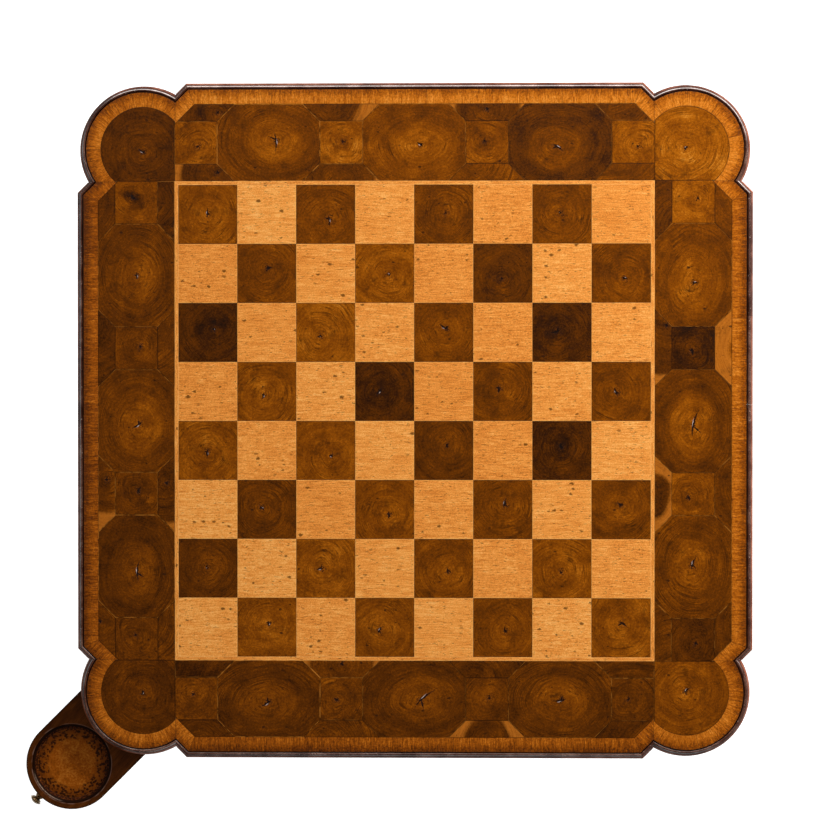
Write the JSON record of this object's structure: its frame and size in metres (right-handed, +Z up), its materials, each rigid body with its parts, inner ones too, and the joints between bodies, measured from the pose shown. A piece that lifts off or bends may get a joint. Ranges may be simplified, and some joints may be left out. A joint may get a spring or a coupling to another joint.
{
  "type": "chess table with inlaid board",
  "caption": "Square table with lobed corners, an inlaid board in a veneered border, pull-out coaster slides under the lobes, drawers for the pieces and cabriole legs.",
  "frame": {"origin": "centre of the board's playing surface", "axes": "+Z up out of the board, -Y the front, +X and -X towards the two players; the floor is 762 mm below"},
  "size_m": [0.8278, 0.8278, 0.762],
  "materials": {
    "oyster_veneer": "polished",
    "light_veneer": "polished",
    "crossbanding": "polished",
    "moulding_walnut": "polished",
    "walnut": "polished",
    "slide_walnut": "polished",
    "carcass_wood": "matte",
    "leather": "matte",
    "brass": "satin",
    "steel": "satin"
  },
  "bodies": {
    "table": {"top_core": "carcass_wood", "edge_moulding_sides": "moulding_walnut", "edge_moulding_returns": "moulding_walnut", "edge_moulding_lobes": "moulding_walnut", "crossbanding": "crossbanding", "oyster_octagons": "oyster_veneer", "oyster_squares": "oyster_veneer", "oyster_wedges": "oyster_veneer", "oyster_lobes": "oyster_veneer", "dark_squares": "oyster_veneer", "light_squares": "light_veneer", "board_stringing": "light_veneer", "plain_rails": "walnut", "drawer_upper_rails": "walnut", "drawer_lower_rails": "walnut", "drawer_stiles": "walnut", "frieze_corner_blocks": "walnut", "dust_board": "carcass_wood", "slide_guides": "carcass_wood", "slide_stops": "carcass_wood", "glue_blocks": "carcass_wood", "drawer_runners": "carcass_wood", "drawer_stops": "carcass_wood", "frieze_bead": "moulding_walnut", "guide_screws": "steel", "knee_brackets": "walnut", "turret_back_right": "walnut", "leg_back_right": "walnut", "turret_back_left": "walnut", "leg_back_left": "walnut", "turret_front_left": "walnut", "leg_front_left": "walnut", "turret_front_right": "walnut", "leg_front_right": "walnut"},
    "slide_back_right": {"coaster_slide_back_right": "slide_walnut", "slide_leather_back_right": "leather", "slide_pull_back_right": "brass"},
    "slide_back_left": {"coaster_slide_back_left": "slide_walnut", "slide_leather_back_left": "leather", "slide_pull_back_left": "brass"},
    "slide_front_left": {"coaster_slide_front_left": "slide_walnut", "slide_leather_front_left": "leather", "slide_pull_front_left": "brass"},
    "slide_front_right": {"coaster_slide_front_right": "slide_walnut", "slide_leather_front_right": "leather", "slide_pull_front_right": "brass"},
    "drawer_right": {"drawer_right_front": "walnut", "drawer_right_sides": "carcass_wood", "drawer_right_back": "carcass_wood", "drawer_right_bottom": "carcass_wood", "drawer_right_knobs": "brass"},
    "drawer_left": {"drawer_left_front": "walnut", "drawer_left_sides": "carcass_wood", "drawer_left_back": "carcass_wood", "drawer_left_bottom": "carcass_wood", "drawer_left_knobs": "brass"}
  },
  "joints": [
    {"name": "pull_out_back_right", "type": "slide", "parent": "table", "child": "slide_back_right", "axis": [0.7071, 0.7071, 0], "range_m": [0, 0.1216]},
    {"name": "pull_out_back_left", "type": "slide", "parent": "table", "child": "slide_back_left", "axis": [-0.7071, 0.7071, 0], "range_m": [0, 0.1216]},
    {"name": "pull_out_front_left", "type": "slide", "parent": "table", "child": "slide_front_left", "axis": [-0.7071, -0.7071, 0], "range_m": [-0.1216, 0]},
    {"name": "pull_out_front_right", "type": "slide", "parent": "table", "child": "slide_front_right", "axis": [0.7071, -0.7071, 0], "range_m": [0, 0.1216]},
    {"name": "open_drawer_right", "type": "slide", "parent": "table", "child": "drawer_right", "axis": [1, 0, 0], "range_m": [0, 0.22]},
    {"name": "open_drawer_left", "type": "slide", "parent": "table", "child": "drawer_left", "axis": [-1, 0, 0], "range_m": [0, 0.22]}
  ]
}
